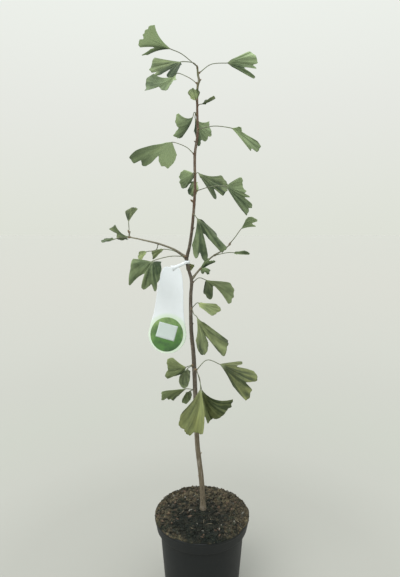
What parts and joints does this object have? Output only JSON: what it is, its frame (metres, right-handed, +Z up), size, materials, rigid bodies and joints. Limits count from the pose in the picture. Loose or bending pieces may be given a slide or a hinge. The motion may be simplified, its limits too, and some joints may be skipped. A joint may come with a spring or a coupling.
{
  "type": "potted ginkgo tree",
  "caption": "Young ginkgo with a slender crooked stem, thin boughs and drooping fan-shaped leaves in a round black nursery pot, with a blank hang tag",
  "frame": {"origin": "centre of the pot's flat underside", "axes": "+Z up the stem, +X to the right and -Y towards the viewer of the front view"},
  "size_m": [0.3096, 0.2313, 1.1168],
  "materials": {
    "pot": "black moulded plastic with a soft sheen, dusty at the rim",
    "soil": "damp dark potting mix of peat and bark with moss and pale bark chips",
    "bark": "grey-brown young bark, finely ridged, with lenticels and bud scars",
    "leaf": "matt mid-green fan-shaped leaves with fine forking veins",
    "tag": "white plastic label with a plain green disc and a blank white patch"
  },
  "bodies": {
    "root": {"pot": "pot", "soil": "soil", "trunk": "bark", "bough_left": "bark", "bough_right": "bark", "hang_tag": "tag", "foliage_01": "leaf", "foliage_02": "leaf", "foliage_03": "leaf", "foliage_04": "leaf", "foliage_05": "leaf", "foliage_06": "leaf", "foliage_07": "leaf", "foliage_08": "leaf", "foliage_09": "leaf", "foliage_10": "leaf", "foliage_11": "leaf", "foliage_12": "leaf", "foliage_13": "leaf", "foliage_14": "leaf", "foliage_15": "leaf", "foliage_16": "leaf", "foliage_17": "leaf", "foliage_18": "leaf", "foliage_19": "leaf", "foliage_20": "leaf", "foliage_21": "leaf", "foliage_22": "leaf", "foliage_23": "leaf", "foliage_24": "leaf", "foliage_25": "leaf", "foliage_26": "leaf", "foliage_27": "leaf", "foliage_28": "leaf", "foliage_29": "leaf", "foliage_30": "leaf"}
  },
  "joints": []
}
